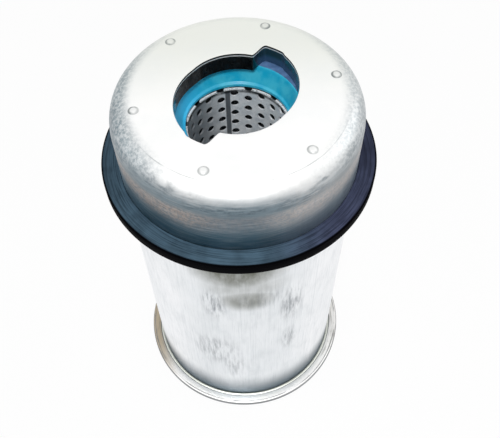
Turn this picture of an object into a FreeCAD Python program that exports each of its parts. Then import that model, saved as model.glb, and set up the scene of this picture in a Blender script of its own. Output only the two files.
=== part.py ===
import FreeCAD, Part
import Sketcher
import math
import os
import re

# Canister filter: a drawn aluminium shell over a pleated element. Oil enters through the base,
# passes inwards through the pleats and leaves up the centre tube into a spigot in the mouth.
# Millimetres, +Z up. The origin is the centre of the base face, and +X runs through a weld mark.

SIZES = (
    ("overall_height", 200.0, "base face to top face"),
    ("shell_radius", 52.0, "outside of the drawn shell"),
    ("shell_sheet", 1.5, "sheet of the shell"),
    ("shoulder_radius", 10.5, "outside radius of the top's rounded edge"),
    ("foot_bend", 1.0, "inside bevel where the wall turns out to its flange"),
    ("flange_width", 6.4, "how far the folded rim at the base stands out of the shell"),
    ("hem_gap", 0.4, "gap between the folded leaf and the wall's bend"),
    ("ring_width", 8.0, "how far the sealing ring stands out of the shell"),
    ("ring_height", 5.8, "height of the sealing ring"),
    ("ring_drop", 34.1, "top of the sealing ring below the top face"),
    ("ring_edge", 0.6, "bevel of the sealing ring's outer edges"),
    ("weld_count", 6, "weld marks on the top"),
    ("weld_inset", 10.8, "centres of the weld marks inside the shell's outside"),
    ("weld_radius", 2.2, "radius of one weld mark"),
    ("weld_crown", 1.3, "radius of its flat crown"),
    ("weld_rise", 0.45, "height of one weld mark"),
    ("spigot_radius", 21.8, "radius of the filter head's spigot, which the seal is made for"),
    ("mouth_gap", 0.3, "clearance of the plain mouth around the spigot"),
    ("lobe_depth", 7.4, "depth of the mouth's two notches"),
    ("notch_angle", 58.6, "where a notch's steep side meets the plain mouth, degrees"),
    ("lobe_end", 52.4, "where the steep side meets the notch's bottom, degrees"),
    ("lobe_start", 35.2, "where the notch's bottom meets the cam edge, degrees"),
    ("cam_offset", 5.1, "how far the centre of a cam edge lies off the axis"),
    ("cam_growth", 4.05, "how much larger a cam edge's radius is than the plain mouth's"),
    ("bayonet_reach", 2.1, "how far the plate welded under the top goes past its flat part"),
    ("bayonet_sheet", 2.0, "thickness of that plate"),
    ("collar_wall", 1.5, "wall of the collar below it"),
    ("shelf_depth", 8.8, "top of the seal's cup, where the collar stands, below the top face"),
    ("seal_height", 9.6, "height of the spigot seal"),
    ("seal_wall", 7.2, "wall of the spigot seal"),
    ("seal_flare", 4.4, "how much wider than the spigot the seal's funnel is at its top"),
    ("seal_edge", 0.3, "width of the funnel's flat top edge"),
    ("seal_lip", 1.4, "how much wider than the spigot the funnel is at its foot"),
    ("lip_drop", 7.0, "depth of the funnel's foot below the shelf"),
    ("seal_land", 1.4, "height of the sealing land"),
    ("cup_wall", 2.45, "wall of the cup that holds the seal"),
    ("cup_lip", 1.8, "thickness of the lip over the seal"),
    ("cap_gap", 3.7, "gap between the end caps and the shell"),
    ("cap_wall", 1.5, "wall of the moulded top cap"),
    ("cap_skirt", 7.6, "height of the top cap's skirt"),
    ("potting_depth", 3.0, "depth of the potting in each cap"),
    ("tube_gap", 0.2, "how much wider than the spigot the centre tube is outside"),
    ("tube_sheet", 0.8, "sheet of the centre tube"),
    ("tube_stop", 0.6, "top of the tube below the seal"),
    ("tube_flats", 44, "flats that stand for the tube's curve"),
    ("tube_columns", 22, "columns of holes around the tube"),
    ("tube_rows", 5, "holes in a column, from the top down"),
    ("hole_radius", 1.6, "radius of a hole in the tube"),
    ("hole_sides", 8, "sides that stand for the hole's curve"),
    ("row_pitch", 6.1, "distance from one hole to the next in a column"),
    ("first_row", 2.7, "first hole below the top of the tube"),
    ("first_column", 81.6, "angle of the first column of holes, degrees"),
    ("seam_width", 2.4, "width of the tube's folded seam"),
    ("seam_height", 0.8, "how far the folded seam stands out of the tube"),
    ("pleat_count", 48, "pleats in the element"),
    ("pleat_gap", 0.35, "inner folds of the pleats to the top cap's inner skirt"),
    ("pleat_fold", 1.5, "width of a pleat's flat fold"),
    ("media_layer", 0.5, "thickness of the filter layer"),
    ("mesh_layer", 0.25, "thickness of the support mesh inside it"),
    ("band_height", 4.0, "height of a band round the pleats"),
    ("band_wall", 0.4, "thickness of a band"),
    ("band_gap", 0.45, "bands to the top cap's skirt"),
    ("band_count", 3, "bands round the pleats"),
    ("cap_level", 20.0, "underside of the bottom cap"),
    ("cap_sheet", 1.0, "sheet of the bottom cap"),
    ("cap_bend", 0.6, "inside bevel of the bottom cap's bends"),
    ("cap_height", 9.0, "height of the bottom cap's skirt"),
    ("well_gap", 0.15, "gap between the tube's seam and the well in the bottom cap"),
    ("well_depth", 4.0, "depth of the well below the bottom cap"),
    ("plate_sheet", 1.0, "sheet of the base plate"),
    ("plate_bend", 0.5, "inside bevel of the base plate's bends"),
    ("step_inset", 6.0, "step up to the base plate's floor, inside the shell's outside"),
    ("plate_rise", 6.0, "underside of that floor above the base face"),
    ("collar_inset", 1.5, "collar drawn up in the base plate, inside the well's outside"),
    ("collar_height", 4.0, "height of that collar above the floor"),
    ("inlet_count", 8, "inlet holes in the base plate"),
    ("inlet_radius", 6.0, "radius of an inlet hole"),
    ("spring_wire", 2.4, "wire of the element's spring"),
    ("spring_gap", 1.0, "gap between that spring and the well that centres it"),
    ("spring_turns", 2.5, "turns of that spring"),
    ("coil_runs", 20, "straight runs that stand for one turn of a spring"),
    ("wire_sides", 6, "sides that stand for a wire's curve"),
    ("seat_bore", 9.5, "hole through the bypass seat"),
    ("seat_wall", 2.5, "wall of the seat's barrel in the bottom cap"),
    ("seat_ledge", 2.5, "width of the seat's flange around that barrel"),
    ("seat_sheet", 1.4, "thickness of the seat's flange"),
    ("seat_tail", 1.2, "length of the barrel below the cap"),
    ("rim_width", 1.2, "width of the raised rim that the valve closes on"),
    ("rim_rise", 0.5, "height of that rim"),
    ("valve_reach", 3.5, "how far the bypass valve's disc goes past the seat's hole"),
    ("valve_disc", 1.2, "thickness of that disc"),
    ("gasket_sheet", 1.2, "thickness of the valve's gasket"),
    ("washer_gap", 2.0, "gap between the gasket's washer and the seat"),
    ("washer_sheet", 0.8, "thickness of that washer"),
    ("stem_radius", 2.5, "stem of the valve"),
    ("stem_reach", 8.3, "stem above the cage with the valve shut"),
    ("stem_bevel", 0.6, "bevel at the stem's end"),
    ("shank_step", 0.5, "how much thinner than the stem the shank in the gasket is"),
    ("stem_gap", 0.1, "clearance around the stem in its guide"),
    ("push_gap", 0.05, "clearance around a piece pushed into another"),
    ("valve_wire", 1.5, "wire of the bypass spring"),
    ("valve_coil", 7.0, "radius of the bypass spring at the middle of its wire"),
    ("valve_turns", 5, "turns of the bypass spring"),
    ("cage_gap", 1.0, "gap between the cage's foot and the centre tube"),
    ("cage_ledge", 3.2, "width of the cage's foot"),
    ("cage_height", 20.0, "height of the cage"),
    ("cage_sheet", 1.2, "sheet of the cage"),
    ("cage_bend", 0.8, "inside bevel of the cage's bends"),
    ("cage_windows", 4, "windows in the cage"),
    ("window_width", 12.0, "width of a window"),
    ("window_height", 11.0, "height of a window"),
)

# Sizes and levels that follow from the ones above.
FOLLOWS = {
    "flange_radius": "shell_radius + flange_width",
    "flange_top": "plate_sheet + shell_sheet",
    "flange_edge": "flange_radius - plate_sheet - plate_bend - push_gap",
    "hem_top": "2 * plate_sheet + shell_sheet",
    "hem_inner": "shell_radius + foot_bend + hem_gap",
    "ring_radius": "shell_radius + ring_width",
    "ring_top": "overall_height - ring_drop",
    "ring_level": "ring_top - ring_height",
    "top_underside": "overall_height - shell_sheet",
    "flat_radius": "shell_radius - shoulder_radius",
    "weld_pitch": "shell_radius - weld_inset",
    "mouth_radius": "spigot_radius + mouth_gap",
    "lobe_radius": "mouth_radius + lobe_depth",
    "cam_radius": "mouth_radius + cam_growth",
    "bayonet_level": "top_underside - bayonet_sheet",
    "bayonet_radius": "flat_radius + bayonet_reach",
    "shelf_level": "overall_height - shelf_depth",
    "seal_floor": "shelf_level - seal_height",
    "seal_seat": "spigot_radius + seal_wall",
    "funnel_top": "spigot_radius + seal_flare",
    "lip_underside": "shelf_level - cup_lip",
    "cup_bore": "seal_seat + push_gap",
    "cap_ceiling": "seal_floor - cap_wall",
    "skirt_foot": "seal_floor - cap_skirt",
    "pot_underside": "cap_ceiling - potting_depth",
    "cap_radius": "shell_radius - shell_sheet - cap_gap",
    "cap_bore": "cap_radius - cap_wall",
    "tube_radius": "spigot_radius + tube_gap",
    "tube_bore": "tube_radius - tube_sheet",
    "tube_top": "seal_floor - tube_stop",
    "tube_clear": "tube_radius + push_gap",
    "seam_clear": "tube_clear + seam_height",
    "inner_skirt": "seam_clear + cap_wall",
    "pleat_outer": "cap_bore - band_gap - band_wall - push_gap",
    "pleat_inner": "inner_skirt + pleat_gap",
    "well_radius": "seam_clear + well_gap + cap_sheet",
    "well_floor": "cap_level - well_depth",
    "tube_foot": "well_floor + cap_sheet",
    "pot_floor": "cap_level + cap_sheet",
    "pleat_foot": "pot_floor + potting_depth",
    "plate_floor": "plate_rise + plate_sheet",
    "plate_step": "shell_radius - step_inset",
    "collar_radius": "well_radius - collar_inset",
    "spring_coil": "well_radius + spring_gap + spring_wire / 2",
    "inlet_pitch": "(plate_step + spring_coil + spring_wire / 2) / 2",
    "seat_barrel": "seat_bore + seat_wall",
    "seat_flange": "seat_barrel + seat_ledge",
    "seat_top": "tube_foot + seat_sheet",
    "rim_top": "seat_top + rim_rise",
    "valve_radius": "seat_bore + valve_reach",
    "washer_radius": "seat_bore - washer_gap",
    "disc_foot": "rim_top + gasket_sheet",
    "disc_top": "disc_foot + valve_disc",
    "cage_foot": "tube_bore - cage_gap",
    "cage_radius": "cage_foot - cage_ledge",
    "cage_top": "tube_foot + cage_height",
    "cage_ceiling": "cage_top - cage_sheet",
}

doc = FreeCAD.newDocument("canister_filter")
sheet = doc.addObject("Spreadsheet::Sheet", "Size")
for row, (alias, number, note) in enumerate(SIZES, start=1):
    sheet.set(f"A{row}", note)
    sheet.set(f"B{row}", str(number))
    sheet.setAlias(f"B{row}", alias)
doc.recompute()


def formula(text):
    # Writes out what follows from other sizes, then names the sheet before each alias.
    # Every such name has an underscore in it, and no function of the sheet's has one.
    while any(re.search(rf"\b{name}\b", text) for name in FOLLOWS):
        for name, meaning in FOLLOWS.items():
            text = re.sub(rf"\b{name}\b", f"({meaning})", text)
    return re.sub(r"\b([a-z]+(?:_[a-z]+)+)\b", r"Size.\1", text)


def value(text):
    return float(sheet.evalExpression(formula(text)))


def bind(item, **formulas):
    for name, text in formulas.items():
        item.setExpression(name, formula(text))


def polar(radius, angle):
    return f"({radius}) * cos({angle})", f"({radius}) * sin({angle})"


def bend_centre(start, end, radius, left):
    # The centre of an arc of this radius that turns left, or right, on its way from start to end.
    chord = end.sub(start)
    reach = math.sqrt(max(radius ** 2 - (chord.Length / 2) ** 2, 0))
    side = FreeCAD.Vector(-chord.y, chord.x, 0).normalize()
    return start.add(chord.multiply(0.5)).add(side.multiply(reach if left else -reach))


def edge_between(start, end, bend):
    # A straight edge, or an arc where bend is ("left", radius) or ("right", radius).
    if not bend:
        return Part.LineSegment(start, end)
    left, radius = bend[0] == "left", value(bend[1])
    centre = bend_centre(start, end, radius, left)
    first, last = (start, end) if left else (end, start)
    turn = [math.atan2(spot.y - centre.y, spot.x - centre.x) for spot in (first, last)]
    if turn[1] < turn[0]:
        turn[1] += 2 * math.pi
    return Part.ArcOfCircle(Part.Circle(centre, FreeCAD.Vector(0, 0, 1), radius), *turn)


def tie(item, kind, text, *where):
    # A dimension that follows a formula.
    place = item.addConstraint(Sketcher.Constraint(kind, *where, value(text)))
    item.setExpression(f"Constraints[{place}]", formula(text))


def tie_end(item, edge, end, corner):
    # Ties one end of an edge to its corner: by a distance, or to the axis where that is nought.
    for kind, axis, text in (("DistanceX", -2, corner[0]), ("DistanceY", -1, corner[1])):
        if abs(value(text)) < 1e-9:
            item.addConstraint(Sketcher.Constraint("PointOnObject", edge, end, axis))
        else:
            tie(item, kind, text, edge, end)


def loop(item, corners, bends=None):
    # One closed outline. An arc is stored turning left, so a right bend has its ends swapped.
    bends = bends or {}
    spots = [FreeCAD.Vector(value(x), value(y), 0) for x, y in corners]
    first = item.GeometryCount
    for index, spot in enumerate(spots):
        after = spots[(index + 1) % len(spots)]
        item.addGeometry(edge_between(spot, after, bends.get(index)), False)
    swapped = [bends.get(index, ("left",))[0] == "right" for index in range(len(corners))]
    for index, corner in enumerate(corners):
        before = (index - 1) % len(corners)
        start, end = (2 if swapped[index] else 1), (1 if swapped[before] else 2)
        item.addConstraint(
            Sketcher.Constraint("Coincident", first + before, end, first + index, start))
        tie_end(item, first + index, start, corner)
        if index in bends:
            tie(item, "Radius", bends[index][1], first + index)


def circle(item, radius, x="0", y="0"):
    spot = FreeCAD.Vector(value(x), value(y), 0)
    edge = item.addGeometry(Part.Circle(spot, FreeCAD.Vector(0, 0, 1), value(radius)), False)
    tie_end(item, edge, 3, (x, y))
    tie(item, "Radius", radius, edge)


def origin_part(body, role):
    return next(item for item in body.Origin.OriginFeatures if item.Role == role)


def sketch(body, role, name, level="0"):
    # An empty sketch on one of the body's own planes, lifted along that plane's normal.
    item = body.newObject("Sketcher::SketchObject", name)
    item.AttachmentSupport = [(origin_part(body, role), "")]
    item.MapMode = "FlatFace"
    item.setExpression("AttachmentOffset.Base.z", formula(level))
    return item


def turned(label, corners, bends=None):
    # A round piece: its half section turned about the axis.
    body = doc.addObject("PartDesign::Body", label)
    section = sketch(body, "XZ_Plane", label + "_section")
    loop(section, corners, bends)
    solid = body.newObject("PartDesign::Revolution", label + "_turned")
    solid.Profile = section
    solid.ReferenceAxis = (section, ["V_Axis"])
    solid.Angle = 360
    return body


def pocket(body, profile, name, length):
    # A cut that runs down from its sketch.
    item = body.newObject("PartDesign::Pocket", name)
    item.Profile = profile
    bind(item, Length=length)
    return item


def around(body, feature, count):
    # Repeats a feature evenly about the axis.
    pattern = body.newObject("PartDesign::PolarPattern", feature.Name + "_set")
    pattern.Originals = [feature]
    pattern.Axis = (origin_part(body, "Z_Axis"), [""])
    pattern.Angle = 360
    bind(pattern, Occurrences=count)
    body.Tip = pattern


def moved(corner, leg, length):
    # A corner moved along a level or upright leg.
    return tuple(f"{text} + {way} * ({length})" if way else text for text, way in zip(corner, leg))


def sign(number):
    return (number > 1e-9) - (number < -1e-9)


def pressed(path, sheet_size, sizes, rounded=()):
    # The section of a pressed sheet. path follows one face in level and upright legs, with the
    # sheet on its left, and sizes gives the inside size of the bend at each inner corner. The
    # bends whose places are in rounded are arcs, and the others are bevels.
    spots = [(value(x), value(y)) for x, y in path]
    legs = [(sign(x - a), sign(y - b)) for (a, b), (x, y) in zip(spots, spots[1:])]
    lefts = [(-leg[1], leg[0]) for leg in legs]
    near = [(path[0], None)]
    far = [(moved(path[0], lefts[0], sheet_size), None)]
    for place, size in enumerate(sizes):
        before, after, corner = legs[place], legs[place + 1], path[place + 1]
        left = before[0] * after[1] - before[1] * after[0] > 0
        wide = f"{size} + {sheet_size}"
        inner = moved(moved(corner, lefts[place], sheet_size), lefts[place + 1], sheet_size)
        back = (-before[0], -before[1])
        near_size, far_size = (wide, size) if left else (size, wide)
        near_bend = far_bend = None
        if place in rounded:
            near_bend = ("left" if left else "right", near_size)
            far_bend = ("right" if left else "left", far_size)
        near += [(moved(corner, back, near_size), near_bend), (moved(corner, after, near_size), None)]
        far += [(moved(inner, back, far_size), None), (moved(inner, after, far_size), far_bend)]
    near.append((path[-1], None))
    far.append((moved(path[-1], lefts[-1], sheet_size), None))
    section = near + far[::-1]
    corners = [corner for corner, bend in section]
    return corners, {index: bend for index, (corner, bend) in enumerate(section) if bend}


def mouth():
    # The mouth's outline: a circle with two notches half a turn apart. Each has a steep side, a
    # round bottom, and a cam edge that is an arc struck from a point off the axis.
    reach = "(mouth_radius ^ 2 + cam_offset ^ 2 - cam_radius ^ 2) / (2 * cam_offset)"
    foot = (f"sqrt(mouth_radius ^ 2 - ({reach}) ^ 2)", reach)
    cam_end = ("cam_offset * sin(lobe_start)"
               " + sqrt(cam_radius ^ 2 - (cam_offset * cos(lobe_start)) ^ 2)")
    half = [foot, polar(cam_end, "lobe_start"), polar("lobe_radius", "lobe_start"),
            polar("lobe_radius", "lobe_end"), polar("mouth_radius", "notch_angle")]
    corners = [(f"{way} * ({x})", f"{way} * ({y})") for way in (1, -1) for x, y in half]
    bends = {}
    for first in (0, len(half)):
        bends[first] = ("left", "cam_radius")
        bends[first + 2] = ("left", "lobe_radius")
        bends[first + 4] = ("left", "mouth_radius")
    return corners, bends


def outer_shell():
    path = [("flange_edge", "flange_top"), ("shell_radius", "flange_top"),
            ("shell_radius", "overall_height"), ("0", "overall_height")]
    bends = ["foot_bend", "shoulder_radius - shell_sheet"]
    body = turned("outer_shell", *pressed(path, "shell_sheet", bends, rounded=[1]))
    opening = sketch(body, "XY_Plane", "mouth_outline", "overall_height")
    loop(opening, *mouth())
    pocket(body, opening, "mouth", "shell_sheet")
    mark = sketch(body, "XZ_Plane", "weld_section")
    bind(mark, **{"AttachmentOffset.Base.x": "weld_pitch",
                  "AttachmentOffset.Base.y": "overall_height"})
    root = "0 - shell_sheet / 2"
    loop(mark, [("0", root), ("weld_radius", root), ("weld_radius", "0"),
                ("weld_crown", "weld_rise"), ("0", "weld_rise")])
    weld = body.newObject("PartDesign::Revolution", "weld_mark")
    weld.Profile = mark
    weld.ReferenceAxis = (mark, ["V_Axis"])
    weld.Angle = 360
    around(body, weld, "weld_count")


def sealing_ring():
    side = "ring_radius - ring_edge"
    turned("sealing_ring", [
        ("shell_radius", "ring_level"), (side, "ring_level"),
        ("ring_radius", "ring_level + ring_edge"), ("ring_radius", "ring_top - ring_edge"),
        (side, "ring_top"), ("shell_radius", "ring_top")])


def cylinder(name, radius, level, height):
    item = doc.addObject("Part::Cylinder", name)
    bind(item, Radius=radius, Height=height)
    bind(item, **{"Placement.Base.z": level})
    return item


def extrusion(name, base, length):
    item = doc.addObject("Part::Extrusion", name)
    item.Base = base
    item.DirMode = "Custom"
    item.Dir = FreeCAD.Vector(0, 0, 1)
    item.Solid = True
    bind(item, LengthFwd=length)
    return item


def cut(label, base, tool):
    item = doc.addObject("Part::Cut", label)
    item.Base, item.Tool = base, tool
    return item


def bayonet_plate():
    # A flat plate welded under the top, with a collar that follows the mouth down to the shelf.
    outline = doc.addObject("Sketcher::SketchObject", "collar_outline")
    loop(outline, *mouth())
    bind(outline, **{"Placement.Base.z": "shelf_level"})
    wider = doc.addObject("Part::Offset2D", "collar_outside")
    wider.Source = outline
    bind(wider, Value="collar_wall")
    height = "top_underside - shelf_level"
    block = doc.addObject("Part::Fuse", "bayonet_block")
    block.Base = turned("bayonet_disc", [
        ("0", "bayonet_level"), ("bayonet_radius", "bayonet_level"),
        ("bayonet_radius", "top_underside - bayonet_reach / 2"),
        ("flat_radius - push_gap", "top_underside"), ("0", "top_underside")])
    block.Tool = extrusion("collar_block", wider, height)
    cut("bayonet_plate", block, extrusion("collar_bore", outline, height))


def spigot_seal():
    # The funnel guides the spigot down to the land that seals on it.
    turned("spigot_seal", [
        ("spigot_radius", "seal_floor"), ("seal_seat", "seal_floor"),
        ("seal_seat", "lip_underside"), ("funnel_top", "lip_underside"),
        ("funnel_top", "shelf_level"), ("funnel_top - seal_edge", "shelf_level"),
        ("spigot_radius + seal_lip", "shelf_level - lip_drop"),
        ("spigot_radius", "seal_floor + seal_land")])


def top_end_cap():
    # Moulded: a ring over the pleats' ends, with the seal's cup standing on it.
    cup, neck = "cup_bore + cup_wall", "funnel_top + push_gap"
    turned("top_end_cap", [
        ("seam_clear", "skirt_foot"), ("inner_skirt", "skirt_foot"), ("inner_skirt", "cap_ceiling"),
        ("cap_bore", "cap_ceiling"), ("cap_bore", "skirt_foot"), ("cap_radius", "skirt_foot"),
        ("cap_radius", "cap_ceiling"), ("cap_bore", "seal_floor"), (cup, "seal_floor"),
        (cup, "shelf_level"), (neck, "shelf_level"), (neck, "lip_underside"),
        ("cup_bore", "lip_underside"), ("cup_bore", "seal_floor"), ("seam_clear", "seal_floor")])


def potting(label, inner, low):
    high = f"{low} + potting_depth"
    outer = "cap_bore - push_gap"
    turned(label, [(inner, low), (outer, low), (outer, high), (inner, high)])


def prism(name, sides, radius, level, height):
    item = doc.addObject("Part::Prism", name)
    bind(item, Polygon=sides, Circumradius=radius, Height=height)
    bind(item, **{"Placement.Base.z": level,
                  "Placement.Rotation.Angle": "first_column + 180 / tube_flats"})
    return item


def tube_holes():
    # Staggered columns of holes. The highest ones of every other column are cut open by the end
    # of the tube.
    columns, sides = round(value("tube_columns")), round(value("hole_sides"))
    radius, reach = value("hole_radius"), value("tube_radius + seam_height")
    turns = [math.tau * (side + 0.5) / sides for side in range(sides)]
    across = [FreeCAD.Vector(0, radius * math.sin(turn), radius * math.cos(turn)) for turn in turns]
    blank = Part.Face(Part.makePolygon(across + across[:1])).extrude(FreeCAD.Vector(reach, 0, 0))
    holes = []
    for column in range(columns):
        for row in range(round(value("tube_rows"))):
            drop = value("first_row") + value("row_pitch") * (row - 0.5 * (column % 2))
            hole = blank.copy()
            hole.translate(FreeCAD.Vector(0, 0, value("tube_top") - drop))
            angle = value("first_column") + 360 * column / columns
            hole.rotate(FreeCAD.Vector(), FreeCAD.Vector(0, 0, 1), angle)
            holes.append(hole)
    item = doc.addObject("Part::Feature", "tube_holes")
    item.Shape = Part.makeCompound(holes)
    return item


def centre_tube():
    # Rolled from perforated sheet. Its folded seam stands out between two columns of holes.
    height = "tube_top - tube_foot"
    outside = prism("tube_outside", "tube_flats", "tube_radius", "tube_foot", height)
    inside = prism("tube_inside", "tube_flats", "tube_bore", "tube_foot", height)
    seam = doc.addObject("Part::Box", "tube_seam")
    angle = "first_column + 180 / tube_columns"
    bind(seam, Length="seam_height + tube_sheet", Width="seam_width", Height=height)
    bind(seam, **{
        "Placement.Rotation.Angle": angle,
        "Placement.Base.x": f"tube_bore * cos({angle}) + seam_width / 2 * sin({angle})",
        "Placement.Base.y": f"tube_bore * sin({angle}) - seam_width / 2 * cos({angle})",
        "Placement.Base.z": "tube_foot"})
    rolled = doc.addObject("Part::Fuse", "rolled_tube")
    rolled.Base, rolled.Tool = cut("plain_tube", outside, inside), seam
    cut("centre_tube", rolled, tube_holes())


def pleat_line():
    # The outside of the pleated pack: flat folds joined by straight flanks.
    count, half_fold = round(value("pleat_count")), value("pleat_fold") / 2
    spots = []
    for pleat in range(count):
        for radius, turn in ((value("pleat_outer"), 0),
                             (value("pleat_inner + media_layer + mesh_layer"), 0.5)):
            angle = math.tau * (pleat + turn) / count
            along = FreeCAD.Vector(math.cos(angle), math.sin(angle), 0)
            side = FreeCAD.Vector(-along.y, along.x, 0)
            spots += [along * radius - side * half_fold, along * radius + side * half_fold]
    return Part.makePolygon(spots + spots[:1])


def pleat_layer(label, outside, inside):
    # One layer of the pleated pack, between two depths below its outside.
    line, sharp_corners = pleat_line(), 2
    edges = [line.makeOffset2D(-value(depth), sharp_corners) if value(depth) else line
             for depth in (outside, inside)]
    section = Part.makeFace(edges, "Part::FaceMakerBullseye")
    section.translate(FreeCAD.Vector(0, 0, value("pleat_foot")))
    item = doc.addObject("Part::Feature", label)
    item.Shape = section.extrude(FreeCAD.Vector(0, 0, value("pot_underside - pleat_foot")))


def pleat_bands():
    # Bands that keep the pleats' outer folds apart, evenly spaced up the element.
    inner, height = "pleat_outer + push_gap", "pot_underside - pleat_foot"
    bands = doc.addObject("Part::MultiFuse", "band_blanks")
    bands.Shapes = [
        cylinder(f"band_blank_{place}", f"{inner} + band_wall",
                 f"pleat_foot + ({height}) * {place} / (band_count + 1) - band_height / 2",
                 "band_height")
        for place in range(1, round(value("band_count")) + 1)]
    cut("pleat_bands", bands, cylinder("band_bore", inner, "pleat_foot", height))


def bottom_end_cap():
    path = [("seat_barrel + push_gap", "well_floor"), ("well_radius", "well_floor"),
            ("well_radius", "cap_level"), ("cap_radius", "cap_level"),
            ("cap_radius", "cap_level + cap_height")]
    turned("bottom_end_cap", *pressed(path, "cap_sheet", ["cap_bend"] * 3))


def base_plate():
    # Its rim is folded over the shell's flange, and a collar stands up round the middle opening.
    path = [("collar_radius - plate_sheet", "plate_floor + collar_height"),
            ("collar_radius - plate_sheet", "plate_rise"), ("plate_step", "plate_rise"),
            ("plate_step", "0"), ("flange_radius", "0"), ("flange_radius", "hem_top"),
            ("hem_inner", "hem_top")]
    body = turned("base_plate", *pressed(path, "plate_sheet", ["plate_bend"] * 5))
    hole = sketch(body, "XY_Plane", "inlet_outline", "plate_floor")
    circle(hole, "inlet_radius", "inlet_pitch")
    around(body, pocket(body, hole, "inlet", "plate_sheet"), "inlet_count")


def spring(label, wire, coil, turns, low, high):
    # A coil spring between two levels. Straight runs with mitred corners stand for its curve.
    runs, sides = round(value("coil_runs")), round(value("wire_sides"))
    thick, radius, count = value(wire) / 2, value(coil), round(value(turns) * runs)
    rise = value(f"({high}) - ({low}) - {wire}") / count
    spots = [FreeCAD.Vector(radius * math.cos(math.tau * step / runs),
                            radius * math.sin(math.tau * step / runs),
                            value(low) + thick + rise * step) for step in range(count + 1)]
    along = (spots[1] - spots[0]).normalize()
    outwards = FreeCAD.Vector(0, 0, 1).cross(along).normalize()
    upwards = along.cross(outwards)
    turned_by = [math.tau * (side + 0.5) / sides for side in range(sides)]
    rim = [spots[0] + outwards * (thick * math.cos(turn)) + upwards * (thick * math.sin(turn))
           for turn in turned_by]
    section = Part.makePolygon(rim + rim[:1])
    mitred, solid, plain = 1, True, False
    item = doc.addObject("Part::Feature", label)
    item.Shape = Part.makePolygon(spots).makePipeShell([section], solid, plain, mitred)


def bypass_seat():
    rim_outer = "seat_bore + rim_width"
    corners = [("seat_bore", "well_floor - seat_tail"), ("seat_barrel", "well_floor - seat_tail"),
               ("seat_barrel", "tube_foot"), ("seat_flange", "tube_foot"),
               ("seat_flange", "seat_top"), (rim_outer, "seat_top"), (rim_outer, "rim_top"),
               ("seat_bore", "rim_top")]
    turned("bypass_seat", corners)


def bypass_valve():
    # A disc with a stem above it. Its gasket and the washer that holds it are pushed on a shank.
    stem_top, shank = "cage_top + stem_reach", "stem_radius - shank_step"
    bore, washer_foot = f"{shank} + push_gap", "rim_top - washer_sheet"
    turned("bypass_poppet", [
        ("0", washer_foot), (shank, washer_foot), (shank, "disc_foot"), ("valve_radius", "disc_foot"),
        ("valve_radius", "disc_top"), ("stem_radius", "disc_top"),
        ("stem_radius", f"{stem_top} - stem_bevel"), ("stem_radius - stem_bevel", stem_top),
        ("0", stem_top)])
    turned("bypass_gasket", [(bore, "rim_top"), ("valve_radius", "rim_top"),
                             ("valve_radius", "disc_foot"), (bore, "disc_foot")])
    turned("gasket_washer", [(bore, washer_foot), ("washer_radius", washer_foot),
                             ("washer_radius", "rim_top"), (bore, "rim_top")])


def bypass_cage():
    path = [("cage_foot", "tube_foot + cage_sheet"), ("cage_radius", "tube_foot + cage_sheet"),
            ("cage_radius", "cage_top"), ("stem_radius + stem_gap", "cage_top")]
    body = turned("bypass_cage", *pressed(path, "cage_sheet", ["cage_bend"] * 2))
    window = sketch(body, "YZ_Plane", "window_outline")
    low = "tube_foot + cage_height / 2 - window_height / 2"
    loop(window, [("0 - window_width / 2", low), ("window_width / 2", low),
                  ("window_width / 2", f"{low} + window_height"),
                  ("0 - window_width / 2", f"{low} + window_height")])
    opening = pocket(body, window, "window", "cage_radius")
    opening.Reversed = True
    around(body, opening, "cage_windows")


outer_shell()
sealing_ring()
bayonet_plate()
spigot_seal()
top_end_cap()
potting("top_potting", "inner_skirt + push_gap", "pot_underside")
potting("bottom_potting", "seam_clear", "pot_floor")
pleat_layer("pleated_media", "0", "media_layer")
pleat_layer("support_mesh", "media_layer", "media_layer + mesh_layer")
pleat_bands()
centre_tube()
bottom_end_cap()
base_plate()
spring("element_spring", "spring_wire", "spring_coil", "spring_turns", "plate_floor", "cap_level")
bypass_seat()
bypass_valve()
spring("bypass_spring", "valve_wire", "valve_coil", "valve_turns", "disc_top", "cage_ceiling")
bypass_cage()
doc.recompute()

NODES = ("outer_shell", "sealing_ring", "bayonet_plate", "spigot_seal", "top_end_cap",
         "top_potting", "bottom_potting", "pleated_media", "support_mesh", "pleat_bands",
         "centre_tube", "bottom_end_cap", "base_plate", "element_spring", "bypass_seat",
         "bypass_poppet", "bypass_gasket", "gasket_washer", "bypass_spring", "bypass_cage")

for item in doc.Objects:
    if "Invalid" in item.State or "Error" in item.State:
        raise RuntimeError(f"{item.Name}: {item.State}")
for label in NODES:
    shape = doc.getObject(label).Shape
    if shape.isNull() or not shape.isValid():
        raise RuntimeError(f"{label} has no valid solid")
    print(label, len(shape.Solids), round(shape.Volume, 1))

os.makedirs("parts", exist_ok=True)
for label in NODES:
    doc.getObject(label).Shape.exportStep(f"parts/{label}.step")
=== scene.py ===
import math
from types import SimpleNamespace

import bmesh
import bpy
from mathutils import Matrix, Vector


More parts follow.
